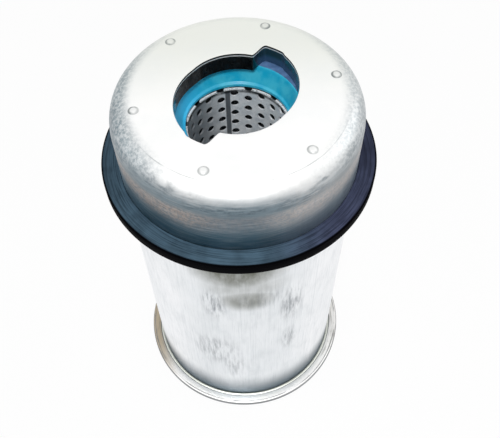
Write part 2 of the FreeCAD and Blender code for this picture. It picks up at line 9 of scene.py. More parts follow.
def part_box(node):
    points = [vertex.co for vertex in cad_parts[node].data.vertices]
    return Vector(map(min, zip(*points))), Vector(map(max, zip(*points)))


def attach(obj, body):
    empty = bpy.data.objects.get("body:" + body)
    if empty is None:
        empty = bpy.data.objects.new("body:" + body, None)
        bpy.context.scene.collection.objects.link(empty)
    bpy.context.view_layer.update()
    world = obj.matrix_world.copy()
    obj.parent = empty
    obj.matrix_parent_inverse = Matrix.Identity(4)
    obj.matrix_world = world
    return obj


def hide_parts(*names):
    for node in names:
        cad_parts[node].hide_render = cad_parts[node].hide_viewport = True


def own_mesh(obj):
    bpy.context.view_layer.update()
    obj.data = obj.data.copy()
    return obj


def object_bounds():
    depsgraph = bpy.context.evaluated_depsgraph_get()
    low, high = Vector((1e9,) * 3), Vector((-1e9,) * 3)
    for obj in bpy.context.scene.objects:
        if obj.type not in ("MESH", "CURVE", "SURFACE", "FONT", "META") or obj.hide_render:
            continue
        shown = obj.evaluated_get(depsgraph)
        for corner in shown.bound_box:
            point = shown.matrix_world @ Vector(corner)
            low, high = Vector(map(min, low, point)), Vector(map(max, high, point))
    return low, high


# Hydraulic filter: a satin aluminium can with a black rubber ring, a turquoise spigot seal and a
# perforated tube inside. Metres, +Z up, in the frame of the solids. +X runs through a weld mark.

mm = 0.001
even = (1, 1, 1)  # a grain that no axis stretches
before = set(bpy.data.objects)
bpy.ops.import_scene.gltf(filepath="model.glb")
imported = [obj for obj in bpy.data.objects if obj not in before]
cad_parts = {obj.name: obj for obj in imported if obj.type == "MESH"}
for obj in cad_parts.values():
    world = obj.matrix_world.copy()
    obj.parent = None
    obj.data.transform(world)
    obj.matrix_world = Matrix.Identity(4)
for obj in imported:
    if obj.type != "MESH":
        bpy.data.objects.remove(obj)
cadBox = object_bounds()
bpy.ops.object.select_all(action="DESELECT")
ringBox, sealBox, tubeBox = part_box("sealing_ring"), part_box("spigot_seal"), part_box("centre_tube")
capBox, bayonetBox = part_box("top_end_cap"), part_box("bayonet_plate")
coilBox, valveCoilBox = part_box("element_spring"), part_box("bypass_spring")
viewSide = Vector((-0.198, -0.980, 0))  # level direction from the axis towards the camera
rightSide = Vector((0.980, -0.198, 0))  # and to the camera's right
weldStand = 0.45 * mm  # how far the weld marks of the solids stand above the flat top
topLevel = cadBox[1].z - weldStand
print("frame loaded,", len(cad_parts), "nodes")


def toLinear(hexText):
    # sRGB hex to the linear colour that a socket takes
    parts = [int(hexText[i:i + 2], 16) / 255 for i in (1, 3, 5)]
    return tuple(c / 12.92 if c <= 0.04045 else ((c + 0.055) / 1.055) ** 2.4 for c in parts) + (1,)


def setInputs(tree, node, inputs):
    # each input is a value, or a socket to link from
    for name, given in inputs.items():
        if isinstance(given, bpy.types.NodeSocket):
            tree.links.new(given, node.inputs[name])
        else:
            node.inputs[name].default_value = given


def addNode(tree, kind, inputs=None, **settings):
    # one node with its settings and its inputs
    node = tree.nodes.new(kind)
    for name, setting in settings.items():
        setattr(node, name, setting)
    setInputs(tree, node, inputs or {})
    return node


def maths(tree, operation, *given, clamp=False):
    return addNode(tree, "ShaderNodeMath", dict(enumerate(given)), operation=operation,
                   use_clamp=clamp).outputs[0]


def product(tree, *given):
    total = given[0]
    for factor in given[1:]:
        total = maths(tree, "MULTIPLY", total, factor)
    return total


def fade(tree, given, start, end, low=0.0, high=1.0):
    # low before start, high past end, smooth between
    return addNode(tree, "ShaderNodeMapRange", {"Value": given, "From Min": start, "From Max": end,
                                                "To Min": low, "To Max": high},
                   interpolation_type="SMOOTHSTEP").outputs[0]


def blended(tree, amount, first, second):
    # a colour between two, each a hex text or a socket
    node = addNode(tree, "ShaderNodeMix", {"Factor": amount}, data_type="RGBA")
    setInputs(tree, node, {place: toLinear(given) if isinstance(given, str) else given
                           for place, given in ((6, first), (7, second))})
    return node.outputs[2]


def layered(tree, tone, *layers):
    # colours laid over a first one in turn, each as (how much, colour)
    for amount, colour in layers:
        tone = blended(tree, amount, tone, colour)
    return tone


def grain(tree, stretch, size, detail=3, rough=0.55):
    # noise on Object coordinates, size in metres, stretched by a factor along each axis
    coords = addNode(tree, "ShaderNodeTexCoord").outputs["Object"]
    mapped = addNode(tree, "ShaderNodeMapping", {"Vector": coords, "Scale": stretch}).outputs[0]
    return addNode(tree, "ShaderNodeTexNoise", {"Vector": mapped, "Scale": 1 / size,
                                                "Detail": detail, "Roughness": rough}).outputs[0]


def places(tree):
    # x, y, height and distance from the axis, from Object coordinates
    coords = addNode(tree, "ShaderNodeTexCoord").outputs["Object"]
    axes = addNode(tree, "ShaderNodeSeparateXYZ", {0: coords}).outputs
    flat = addNode(tree, "ShaderNodeVectorMath", {0: coords, 1: (1, 1, 0)}, operation="MULTIPLY")
    out = addNode(tree, "ShaderNodeVectorMath", {0: flat.outputs[0]}, operation="LENGTH").outputs[1]
    return axes[0], axes[1], axes[2], out


def towards(tree, x, y, direction):
    # how far a point lies from the axis along a level direction
    return maths(tree, "ADD", product(tree, x, direction.x), product(tree, y, direction.y))


ovalEdge = (0.35, 1.25)  # where a soft oval starts to fade and where it ends, in half widths


def patches(tree, x, y, z, table):
    # soft ovals on the side that faces the camera, each as (place to the right, height, half its
    # width, half its height, strength), in millimetres apart from the strength
    aside, facing = towards(tree, x, y, rightSide), towards(tree, x, y, viewSide)
    flat = addNode(tree, "ShaderNodeCombineXYZ", {0: aside, 1: z}).outputs[0]
    total = 0.0
    for across, height, wide, tall, strength in table:
        moved = addNode(tree, "ShaderNodeMapping", {
            "Vector": flat, "Location": (-across / wide, -height / tall, 0),
            "Scale": (1 / (wide * mm), 1 / (tall * mm), 1)}).outputs[0]
        away = addNode(tree, "ShaderNodeVectorMath", {0: moved}, operation="LENGTH").outputs[1]
        total = maths(tree, "MAXIMUM", total, fade(tree, away, *ovalEdge, strength, 0))
    return product(tree, total, maths(tree, "GREATER_THAN", facing, 0))


def turnedGrain(tree, size, drift=0.04, detail=3):
    # fine lines that run round the axis: noise that changes fast outwards and upwards only
    x, y, z, out = places(tree)
    spot = addNode(tree, "ShaderNodeCombineXYZ", {
        0: product(tree, x, drift), 1: product(tree, y, drift),
        2: maths(tree, "ADD", out, z)}).outputs[0]
    return addNode(tree, "ShaderNodeTexNoise", {"Vector": spot, "Scale": 1 / size,
                                                "Detail": detail}).outputs[0]


def newMaterial(name):
    material = bpy.data.materials.new(name)
    material.use_nodes = True
    return material, material.node_tree


def dressed(material, relief, depth, strength, inputs):
    # gives the shader its inputs and a fine relief of that depth in metres
    tree = material.node_tree
    bump = addNode(tree, "ShaderNodeBump", {"Height": relief, "Distance": depth, "Strength": strength})
    setInputs(tree, tree.nodes["Principled BSDF"], {**inputs, "Normal": bump.outputs[0]})
    return material


def activate(piece):
    bpy.ops.object.select_all(action="DESELECT")
    piece.select_set(True)
    bpy.context.view_layer.objects.active = piece


def finished(piece, material, stands, body="filter_body", smooth=35):
    # applies modifiers and place, sets the finish, and rides the piece on its body; smooth is the
    # angle in degrees under which faces shade as one
    activate(piece)
    for modifier in list(piece.modifiers):
        bpy.ops.object.modifier_apply(modifier=modifier.name)
    bpy.ops.object.transform_apply(location=True, rotation=True, scale=True)
    bpy.ops.object.shade_smooth_by_angle(angle=math.radians(smooth))
    piece.data.materials.clear()
    piece.data.materials.append(material)
    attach(piece, body)
    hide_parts(stands)
    print("made", piece.name, len(piece.data.polygons), "faces")
    return piece


def pick(test):
    # selects vertices of the mesh in edit mode by their place
    mesh = bpy.context.object.data
    cage = bmesh.from_edit_mesh(mesh)
    bpy.ops.mesh.select_mode(type="VERT")
    bpy.ops.mesh.select_all(action="DESELECT")
    for vert in cage.verts:
        vert.select_set(test(vert.co))
    cage.select_flush(True)
    bmesh.update_edit_mesh(mesh)


samePoint = 1e-6  # metres within which two points are one


def cleanUp(distance=2 * samePoint):
    bpy.ops.mesh.select_all(action="SELECT")
    bpy.ops.mesh.remove_doubles(threshold=distance)
    bpy.ops.mesh.normals_make_consistent(inside=False)


arcSteps = 3  # segments for each millimetre of a rounding, and the least for any


def lathe(name, corners, steps, closed=True):
    # a profile of (radius, height, rounding) in millimetres, drawn point by point and spun
    bpy.ops.mesh.primitive_plane_add(size=mm)
    piece = bpy.context.object
    piece.name = name
    spots = [Vector((corner[0] * mm, 0, corner[1] * mm)) for corner in corners]
    bpy.ops.object.mode_set(mode="EDIT")
    bpy.ops.mesh.select_all(action="SELECT")
    bpy.ops.mesh.merge(type="CENTER")
    bpy.ops.transform.translate(value=spots[0])
    for before, after in zip(spots, spots[1:] + spots[:1] * closed):
        bpy.ops.mesh.extrude_vertices_move(TRANSFORM_OT_translate={"value": after - before})
    bpy.ops.mesh.select_all(action="SELECT")
    bpy.ops.mesh.remove_doubles(threshold=samePoint)
    for spot, corner in zip(spots, corners):
        if len(corner) > 2:
            pick(lambda co, spot=spot: (co - spot).length < samePoint)
            bpy.ops.mesh.bevel(offset=corner[2] * mm, affect="VERTICES",
                               segments=max(arcSteps, round(arcSteps * corner[2])))
    bpy.ops.mesh.select_all(action="SELECT")
    bpy.ops.mesh.spin(steps=steps, angle=math.tau, center=(0, 0, 0), axis=(0, 0, 1))
    cleanUp()
    bpy.ops.object.mode_set(mode="OBJECT")
    return piece


mouth = {
    "plainRadius": 22.1, "lobeRadius": 29.5, "camOffset": 5.1, "camRadius": 26.15,
    "steepFoot": 59.0, "lobeEnd": 54.4, "lobeStart": 35.2,  # degrees
    "cornerBlur": 1.8, "blurSteps": 4,  # degrees to each side over which corners round, and steps
    "blend": 36.5,  # radius past which nothing follows the mouth
}


def mouthRadius(angle):
    # radius of the bayonet mouth in millimetres, the same every half turn
    size = mouth
    turn = (angle + 90) % 180 - 90
    if turn > size["steepFoot"]:
        return size["plainRadius"]
    if turn > size["lobeEnd"]:
        share = (turn - size["lobeEnd"]) / (size["steepFoot"] - size["lobeEnd"])
        return size["lobeRadius"] + share * (size["plainRadius"] - size["lobeRadius"])
    if turn > size["lobeStart"]:
        return size["lobeRadius"]
    rise = size["camOffset"] * math.sin(math.radians(turn))
    across = size["camOffset"] * math.cos(math.radians(turn))
    cam = rise + math.sqrt(size["camRadius"] ** 2 - across ** 2)
    return max(size["plainRadius"], cam)


def mouthEdge(x, y):
    # the same radius in metres, with its corners rounded: a mean over the angles to each side
    angle, steps = math.degrees(math.atan2(y, x)), mouth["blurSteps"]
    radii = [mouthRadius(angle + mouth["cornerBlur"] * step / steps) for step in range(-steps, steps + 1)]
    return mm * sum(radii) / len(radii)


def openMouth(piece, inner):
    # moves what lies near the mouth outwards, so that a circle of the inner radius follows it
    outer = mouth["blend"] * mm
    for vert in piece.data.vertices:
        out = math.hypot(vert.co.x, vert.co.y)
        if out < outer:
            share = min(1, (outer - out) / (outer - inner * mm))
            shift = share * (mouthEdge(vert.co.x, vert.co.y) - mouth["plainRadius"] * mm)
            vert.co.x *= (out + shift) / out
            vert.co.y *= (out + shift) / out


shell = {
    "radius": 52.0, "sheet": 1.5, "shoulder": 10.5, "flangeEdge": 56.85, "flangeTop": 2.5,
    "footBend": 1.0, "steps": 480, "rimBevel": 0.16, "rimAngle": 50,
    "wallRings": (20, 60, 110, 150, 175),
    "weldRings": (0.4, 7), "mouthRings": (2.0, 7),  # how far apart they are, and how many
    "weldPitch": 41.2, "weldRadius": 2.2, "weldRise": 0.40, "weldGroove": 0.12, "weldCount": 6,
    "weldZone": 1.2,  # how far below the top the marks reach
    "domeEnd": 0.8, "groovePlace": 0.95, "grooveWidth": 0.16,  # in weld radii
    "domePower": 4,  # the higher, the flatter the mark
    "ringLevel": 163,  # height between the marks under the ring and those over it
    "wornLine": (45.3, 0.2),  # distance from the axis, half its width
    "cutReach": 30.5, "cutDepth": 0.05,  # the cut edge: so near the axis, so far under the top
    "edgeShadeFoot": (1.0, 0.8),  # how far under the top the painted edge shade starts and is full
    # soft ovals, as patches takes them
    "stainAndShade": ((-3, 160, 27, 24, 1), (-3, 149, 22, 18, 1), (1, 122, 13, 10, 0.75),
              (0, 133, 20, 10, 0.4)),
    "smudges": ((-14, 116, 6, 14, 1), (22, 110, 6, 18, 0.8), (22, 71, 4, 13, 0.7),
                (-15, 64, 12, 18, 0.65), (-7, 48, 7, 18, 0.45), (10, 121, 14, 9, 0.4)),
    "scuffs": ((-29, 193, 15, 5, 0.55), (-6, 190.5, 24, 3.5, 0.9), (30, 194, 4, 2, 0.5),
               (-37, 197, 5, 1.5, 0.4), (-48, 190, 9, 9, 0.6), (20, 191, 16, 3.5, 0.6),
               (46, 191, 9, 7, 0.4)),
    "grains": {  # stretch along each axis, size, detail, roughness
        "lines": ((1, 1, 0.015), 1.0 * mm, 4, 0.65),  # draw lines about 1 mm apart
        "hair": ((1, 1, 0.03), 0.4 * mm, 2),  # finer ones between them
        "blotch": ((1, 1, 0.4), 6 * mm, 5, 0.62),
        "smear": ((1, 1, 0.13), 1.5 * mm, 4, 0.6),
        "frosted": (even, 1.3 * mm, 4, 0.65),
        "cloud": ((1, 1, 0.7), 24 * mm, 3),
    },
    "turned": {"foil": (0.7 * mm, 0.13, 5), "rings": (0.5 * mm, 0.05, 4)},  # size, drift, detail
    "spans": {  # a place that changes a mark, and from where to where in metres
        "wallEnd": ("z", 0.189, 0.1975), "litFront": ("facing", -0.034, 0.016),
        "canFrontReflection": ("facing", 0.036, 0.052), "wallReflectionTone": ("z", 0.169, 0.189),
        "wallReflectionEnd": ("z", 0.188, 0.1985), "wallReflectionFront": ("facing", -0.020, 0.040),
        "wallReflectionRight": ("aside", 0.000, 0.030), "warmFoot": ("z", 0.173, 0.183),
        "warmSides": ("sides", 0.004, 0.024), "grime": ("z", 0.006, 0.032),
        "footBend": ("z", 0.0030, 0.0036), "wornFront": ("facing", 0.01, 0.03),
        "shoulderEdge": ("out", 0.041, 0.0475), "shoulderFoot": ("z", 0.184, 0.190),
        "sideShadeLeft": ("aside", -0.047, -0.022), "sideShadeFront": ("facing", -0.030, -0.008),
        "sideShadeRight": ("aside", 0.024, 0.047), "shoulderShadeFront": ("facing", 0.022, 0.042),
        "shoulderShadeFoot": ("z", 0.1855, 0.1890), "shoulderShadeEnd": ("z", 0.1910, 0.1978),
        "shoulderShadeRight": ("aside", 0.010, 0.034), "weldShadeFront": ("facing", 0, 0.04),
        # the same for a grain, with the values between which it breaks the mark up
        "cloudy": ("cloud", 0.40, 0.68), "blotchy": ("blotch", 0.45, 0.75),
        "lined": ("lines", 0.48, 0.80), "haired": ("hair", 0.5, 0.8),
        "warmSpeck": ("frosted", 0.36, 0.60), "stainBreak": ("blotch", 0.25, 0.62),
        "smudgeBreak": ("smear", 0.36, 0.70), "wornBreak": ("rings", 0.35, 0.6),
        "sideShadeSpeck": ("frosted", 0.38, 0.62), "shoulderShadeBreak": ("rings", 0.3, 0.6),
        "scuffBreak": ("foil", 0.34, 0.66), "scuffSpeck": ("frosted", 0.36, 0.60),
        "weldShadeBreak": ("blotch", 0.36, 0.60), "polish": ("cloud", 0.3, 0.7),
        # and for the distance from a weld mark, in weld radii
        "weldShadeCore": ("weld", 0.45, 0.85), "weldShadeEnd": ("weld", 0.9, 1.1),
    },
}


def weldHeight(x, y):
    # a low round mark with a groove round it, in metres
    step = math.tau / shell["weldCount"]
    angle = step * round(math.atan2(y, x) / step)
    pitch, reach = shell["weldPitch"] * mm, shell["weldRadius"] * mm
    away = math.hypot(x - pitch * math.cos(angle), y - pitch * math.sin(angle)) / reach
    dome = max(0, 1 - (away / shell["domeEnd"]) ** shell["domePower"])
    groove = math.exp(-((away - shell["groovePlace"]) / shell["grooveWidth"]) ** 2)
    return mm * (shell["weldRise"] * dome - shell["weldGroove"] * groove)


def makeShell():
    size = shell
    edge, top = size["radius"] - size["shoulder"], topLevel / mm
    weldGap, weldRings = size["weldRings"]
    mouthGap, mouthRings = size["mouthRings"]
    corners = [(size["flangeEdge"], size["flangeTop"]),
               (size["radius"], size["flangeTop"], size["footBend"])]
    corners += [(size["radius"], level) for level in size["wallRings"]]
    corners += [(size["radius"], top, size["shoulder"])]
    corners += [(edge - weldGap * step, top) for step in range(1, weldRings + 1)]
    corners += [(mouth["blend"] - mouthGap * step, top) for step in range(mouthRings)]
    corners += [(mouth["plainRadius"], top)]
    piece = lathe("can_shell", corners, size["steps"], closed=False)
    openMouth(piece, mouth["plainRadius"])
    for vert in piece.data.vertices:
        if vert.co.z > topLevel - size["weldZone"] * mm:
            vert.co.z += weldHeight(vert.co.x, vert.co.y)
    wall = piece.modifiers.new("sheet", "SOLIDIFY")
    wall.thickness, wall.offset = size["sheet"] * mm, -1
    rim = piece.modifiers.new("rim", "BEVEL")
    rim.width, rim.segments, rim.angle_limit = size["rimBevel"] * mm, 2, math.radians(size["rimAngle"])
    finished(piece, drawnAluminium(), "outer_shell")


def weldMask(tree, x, y, out):
    # how far a point on the top is from the nearest weld mark, as a share of its radius
    step = math.tau / shell["weldCount"]
    angle = maths(tree, "ARCTAN2", y, x)
    nearest = product(tree, maths(tree, "ROUND", maths(tree, "DIVIDE", angle, step)), step)
    turn = maths(tree, "SUBTRACT", angle, nearest)
    along = maths(tree, "SUBTRACT", product(tree, out, maths(tree, "COSINE", turn)),
                  shell["weldPitch"] * mm)
    aside = product(tree, out, maths(tree, "SINE", turn))
    square = maths(tree, "ADD", maths(tree, "POWER", along, 2), maths(tree, "POWER", aside, 2))
    return maths(tree, "DIVIDE", maths(tree, "SQRT", square), shell["weldRadius"] * mm)


def shellPlaces(tree):
    # the places, grains and regions that the can's marks share
    at = SimpleNamespace()
    at.x, at.y, at.z, at.out = places(tree)
    at.facing, at.aside = towards(tree, at.x, at.y, viewSide), towards(tree, at.x, at.y, rightSide)
    at.sides = maths(tree, "ABSOLUTE", at.aside)
    for name, numbers in shell["grains"].items():
        setattr(at, name, grain(tree, *numbers))
    for name, numbers in shell["turned"].items():
        setattr(at, name, turnedGrain(tree, *numbers))
    at.onWall = span(tree, at, "wallEnd", 1, 0)
    at.below = maths(tree, "LESS_THAN", at.z, shell["ringLevel"] * mm)
    at.above = maths(tree, "SUBTRACT", 1, at.below)
    at.weld = weldMask(tree, at.x, at.y, at.out)
    return at


def span(tree, at, name, low=0.0, high=1.0):
    # a fade over one of the can's spans
    place, start, end = shell["spans"][name]
    return fade(tree, getattr(at, place), start, end, low, high)


def ovals(tree, at, name):
    # one of the can's groups of soft ovals
    return patches(tree, at.x, at.y, at.z, shell[name])


def paleMetal(tree, at):
    # painted light: the flat top is lighter towards the front, so warmer and greyer at the back; cooler on
    # the wall, where draw lines run up, with a painted dark reflection on the front below the ring
    tone = blended(tree, span(tree, at, "litFront"), "#E9EBE5", "#FDFDFC")
    # below the ring the front of the can is greyer: a painted dark reflection
    tone = layered(tree, tone, (at.onWall, "#FBFCFE"),
                   (span(tree, at, "cloudy", 0, 0.2), "#DDE2E4"),
                   (product(tree, at.below, span(tree, at, "canFrontReflection", 0, 0.35)), "#D3DADE"))
    for name, most, colour in (
            ("blotchy", 0.25, "#C4CACE"), ("lined", 0.3, "#AFB7BC"), ("haired", 0.3, "#B4BBC0")):
        tone = blended(tree, product(tree, at.onWall, span(tree, at, name, 0, most)), tone, colour)
    return tone


def reflectedDark(tree, at, tone):
    # painted dark reflection of the ring and painted shade on the wall above the ring, darkest and bluest
    # at its foot and towards the front, warmer at its sides
    dark = blended(tree, span(tree, at, "wallReflectionTone"), "#537484", "#626F79")
    warm = product(tree, span(tree, at, "warmFoot"), span(tree, at, "warmSpeck", 0.3, 1),
                   span(tree, at, "warmSides", 0.25, 0.9))
    dark = blended(tree, warm, dark, "#A3978F")
    ragged = maths(tree, "MULTIPLY", span(tree, at, "wallReflectionEnd", 1, 0), maths(
        tree, "ADD", 0.66, product(tree, at.rings, 0.6)), clamp=True)
    spread = product(tree, span(tree, at, "wallReflectionFront", 0.7, 1), span(tree, at, "wallReflectionRight", 1, 0.76))
    return blended(tree, product(tree, at.above, ragged, spread), tone, dark)


def soiled(tree, at, tone):
    # below the ring: an olive stain with painted shade right under the ring, smudges drawn out upwards,
    # painted shade in the corner at the foot, and a painted highlight on the bend under it
    # an olive stain together with painted shade right under the ring
    stainedAndShaded = product(tree, ovals(tree, at, "stainAndShade"), at.below, span(tree, at, "stainBreak", 0.6, 1))
    smudge = product(tree, maths(tree, "ADD", 0.05, ovals(tree, at, "smudges")), at.below,
                     span(tree, at, "smudgeBreak", 0, 0.8))
    # the corner at the foot darkens as painted shade, and the bend under it lightens as a painted
    # highlight
    return layered(tree, tone, (stainedAndShaded, "#6F7166"), (smudge, "#6A7078"),
                   (span(tree, at, "grime", 1, 0), "#5F6C75"),
                   (span(tree, at, "footBend", 1, 0), "#F3F6EE"))


def scuffed(tree, at, tone):
    # a worn line round the front of the flat top, then on the shoulder painted shade at its left and right
    # sides, the painted shade that the wall's painted reflection ends in, and scuffs
    place, half = shell["wornLine"]
    line = product(tree, maths(tree, "COMPARE", at.out, place * mm, half * mm),
                   span(tree, at, "wornFront"), at.above)
    worn = product(tree, line, span(tree, at, "wornBreak", 0, 0.55))
    shoulder = product(tree, span(tree, at, "shoulderEdge"), span(tree, at, "shoulderFoot"))
    # painted shade at the shoulder's left and right sides, speckled
    left = product(tree, span(tree, at, "sideShadeLeft", 1, 0), span(tree, at, "sideShadeFront", 0.55, 1))
    sideShade = product(tree, shoulder, span(tree, at, "sideShadeSpeck", 0.55, 1),
                    maths(tree, "MAXIMUM", left, span(tree, at, "sideShadeRight", 0, 0.62)))
    # painted shade on the shoulder's foot towards the front, where the wall's painted reflection ends
    haze = product(tree, span(tree, at, "shoulderShadeFront"), span(tree, at, "shoulderShadeFoot"),
                   span(tree, at, "shoulderShadeEnd", 0.9, 0), span(tree, at, "shoulderShadeRight", 1, 0.4),
                   span(tree, at, "shoulderShadeBreak", 0.7, 1))
    scuff = product(tree, shoulder, maths(tree, "ADD", 0.12, ovals(tree, at, "scuffs")),
                    span(tree, at, "scuffBreak"), span(tree, at, "scuffSpeck", 0.5, 1))
    return layered(tree, tone, (worn, "#A9AEAD"), (sideShade, "#8C999F"), (haze, "#74868F"),
                   (scuff, "#5D6B74"))


def weldShaded(tree, at, tone):
    # painted shade in the groove round each weld mark, fainter at the front
    grooveShade = product(tree, span(tree, at, "weldShadeCore", 0.15, 1), span(tree, at, "weldShadeEnd", 1, 0),
                   at.above, span(tree, at, "weldShadeFront", 1, 0.6),
                   span(tree, at, "weldShadeBreak", 0.4, 0.95))
    return blended(tree, grooveShade, tone, "#7A8181")


def drawnAluminium():
    # Deep-drawn aluminium, satin from the die: upright draw lines on the wall, turning marks, scuffs and
    # painted shade round the shoulder, a painted dark reflection with painted shade above the ring, an
    # olive stain with painted shade under the ring and handling marks below it, painted shade in the
    # corner at the foot, painted light on the front of the top and painted shade round the weld marks.
    material, tree = newMaterial("drawn_aluminium")
    at = shellPlaces(tree)
    tone = paleMetal(tree, at)
    for marks in (reflectedDark, soiled, scuffed, weldShaded):
        tone = marks(tree, at, tone)
    # the cut edge of the sheet round the mouth: a painted dark line of edge shade over a bright shear
    cut = product(tree, maths(tree, "LESS_THAN", at.out, shell["cutReach"] * mm),
                  maths(tree, "LESS_THAN", at.z, topLevel - shell["cutDepth"] * mm), at.above)
    edgeShadeStart, edgeShadeFull = (topLevel - depth * mm for depth in shell["edgeShadeFoot"])
    edge = blended(tree, fade(tree, at.z, edgeShadeStart, edgeShadeFull), "#F2F5F5", "#0B0D0E")
    relief = maths(tree, "ADD", product(tree, at.hair, at.onWall),
                   product(tree, at.rings, span(tree, at, "shoulderEdge", 0.3, 1)))
    return dressed(material, relief, 0.05 * mm, 0.6, {
        "Base Color": blended(tree, cut, tone, edge), "Metallic": fade(tree, cut, 0, 1, 0.92, 0.3),
        "Roughness": span(tree, at, "polish", 0.36, 0.46)})


ring = {
    "inner": 52.0, "outer": 60.0, "edge": 0.6, "faceEdge": 1.4, "chamfer": 0.3, "steps": 320,
    "faceDrop": (0.45, 0.05),  # how far under the face its painted sheen starts and is full
    "bareRim": (0.0588, 0.0596), "sheenFront": (-0.005, 0.056), "sheenRight": (0.004, 0.040),  # metres
}


def makeRing():
    low, high, size = ringBox[0].z / mm, ringBox[1].z / mm, ring
    inner, outer, edge, chamfer = (size[name] for name in ("inner", "outer", "edge", "chamfer"))
    piece = lathe("sealing_band", [
        (inner, low), (outer, low, edge), (outer, high, edge), (outer - size["faceEdge"], high),
        (inner + chamfer, high), (inner, high - chamfer)], size["steps"])
    finished(piece, sheenedRubber(), "sealing_ring")


def sheenedRubber():
    # Black nitrile rubber, ground on its face: a painted slate-blue sheen on top, stronger at the front
    # and broken by turning lines and rubbed patches, and a deeper black on the rim.
    material, tree = newMaterial("black_nitrile_rubber")
    x, y, z, out = places(tree)
    facing, aside = towards(tree, x, y, viewSide), towards(tree, x, y, rightSide)
    rings = turnedGrain(tree, 0.45 * mm, 0.03, 5)
    patch = grain(tree, even, 9 * mm, 4, 0.55)
    faceFoot, faceTop = (ringBox[1].z - drop * mm for drop in ring["faceDrop"])
    sheen = product(tree, fade(tree, z, faceFoot, faceTop), fade(tree, out, *ring["bareRim"], 1, 0),
                    fade(tree, patch, 0.28, 0.66, 0.66, 1), fade(tree, rings, 0.34, 0.60, 0.55, 1),
                    fade(tree, facing, *ring["sheenFront"], 0.6, 1))
    # the painted sheen's tone, slate blue turning purplish grey to the right
    dust = blended(tree, fade(tree, aside, *ring["sheenRight"]), "#526A7B", "#4C526B")
    return dressed(material, rings, 0.08 * mm, 0.6, {
        "Base Color": blended(tree, sheen, "#030305", dust), "Specular IOR Level": 0.01,
        "Roughness": fade(tree, rings, 0.3, 0.7, 0.7, 0.5)})


seal = {
    "seat": 29.0, "lip": 1.8, "neck": 26.2, "land": 21.8, "landHeight": 1.4, "steps": 256,
    # the funnel: radius, depth under the shelf, rounding
    "funnel": ((25.7, 0, 0.2), (24.9, 2.6, 1.2), (23.4, 6.4, 0.8), (22.9, 7.6, 0.3)),
    "litLeft": (-0.026, -0.010),  # metres
}


def makeSeal():
    low, shelf, size = sealBox[0].z / mm, sealBox[1].z / mm, seal
    under = shelf - size["lip"]
    corners = [(size["land"], low + size["landHeight"], 0.25), (size["land"], low, 0.2),
               (size["seat"], low), (size["seat"], under), (size["neck"], under),
               (size["neck"], shelf, 0.15)]
    corners += [(radius, shelf - depth, rounding) for radius, depth, rounding in size["funnel"]]
    piece = lathe("seal_funnel", corners, size["steps"])
    finished(piece, turquoiseRubber(), "spigot_seal", smooth=50)


def turquoiseRubber():
    # Turquoise moulded nitrile, wet with oil: smooth, with a soft mould haze, dark specks and painted
    # light on its left side.
    material, tree = newMaterial("turquoise_nitrile_rubber")
    cloud = grain(tree, even, 6 * mm, 4)
    speck = grain(tree, even, 0.9 * mm)
    aside = towards(tree, *places(tree)[:2], rightSide)
    tone = blended(tree, fade(tree, cloud, 0.35, 0.65), "#12ACD2", "#42C0DC")
    # painted light: the seal's left side paler
    tone = layered(tree, tone, (fade(tree, aside, *seal["litLeft"], 1, 0), "#3CCBFF"),
                   (fade(tree, speck, 0.66, 0.78, 0, 0.4), "#0A6E86"))
    return dressed(material, cloud, 0.1 * mm, 0.4, {"Base Color": tone, "Roughness": 0.3})


bayonet = {
    "collarWall": 1.5, "sheet": 2.0, "reach": 43.6, "chamfer": 1.05, "flat": 41.45, "steps": 480,
    "middle": 30.0,  # radius of a ring of points between the collar and where the blend ends
    "guards": (1.2, 1.0),  # rings of points that far under the top and over the foot
    "sealReflectionHeights": (0.1935, 0.1960), "sealReflectionReach": (0.0240, 0.0262),  # metres
}


def makeBayonet():
    size, plain, blend = bayonet, mouth["plainRadius"], mouth["blend"]
    low, high = bayonetBox[0].z / mm, bayonetBox[1].z / mm
    under, wide, middle = high - size["sheet"], plain + size["collarWall"], size["middle"]
    fromTop, fromFoot = size["guards"]
    piece = lathe("bayonet_collar", [
        (plain, high, 0.12), (plain, high - fromTop), (plain, low + fromFoot), (plain, low, 0.45),
        (wide, low, 0.3), (wide, under, 0.6), (middle, under), (blend, under), (size["reach"], under),
        (size["reach"], high - size["chamfer"]), (size["flat"], high), (blend, high),
        (middle, high)], size["steps"])
    openMouth(piece, wide)
    finished(piece, blackLacquer(), "bayonet_plate")


def blackLacquer():
    # Steel plate in glossy black stoving lacquer: deep black with slight sags, a little dust, painted
    # highlight streaks and a painted bluish reflection of the turquoise seal on the collar's lobes.
    material, tree = newMaterial("black_stoving_lacquer")
    sags = grain(tree, (1, 1, 0.5), 3 * mm, 2)
    dust = grain(tree, even, 0.8 * mm, 4)
    highlightStreak = grain(tree, (0.25, 0.25, 1), 0.9 * mm)
    z, out = places(tree)[2:]
    tone = blended(tree, fade(tree, sags, 0.45, 0.75, 0, 0.5), "#030506", "#12262E")
    # painted reflection of the turquoise seal on the lobes of the collar, bluer low down
    film = blended(tree, fade(tree, z, *bayonet["sealReflectionHeights"]), "#2B4A68", "#1C3A46")
    # painted highlight streaks on the lacquer, then dust, then the painted reflection of the seal
    tone = layered(tree, tone, (fade(tree, highlightStreak, 0.58, 0.72, 0, 0.6), "#2A3338"),
                   (fade(tree, dust, 0.66, 0.8, 0, 0.5), "#3A4A52"),
                   (fade(tree, out, *bayonet["sealReflectionReach"], 0, 0.9), film))
    return dressed(material, sags, 0.3 * mm, 0.6, {"Base Color": tone, "Roughness": 0.14})


topCap = {
    "seamClear": 22.85, "innerSkirt": 24.35, "bore": 45.3, "outer": 46.8, "ceilingDrop": 1.5,
    "cupWall": 31.5, "cupBore": 29.05, "neck": 26.25, "lip": 1.8, "steps": 192,
    "shadeReach": 24.45,  # radius within which the nylon is painted near-black as shade
}


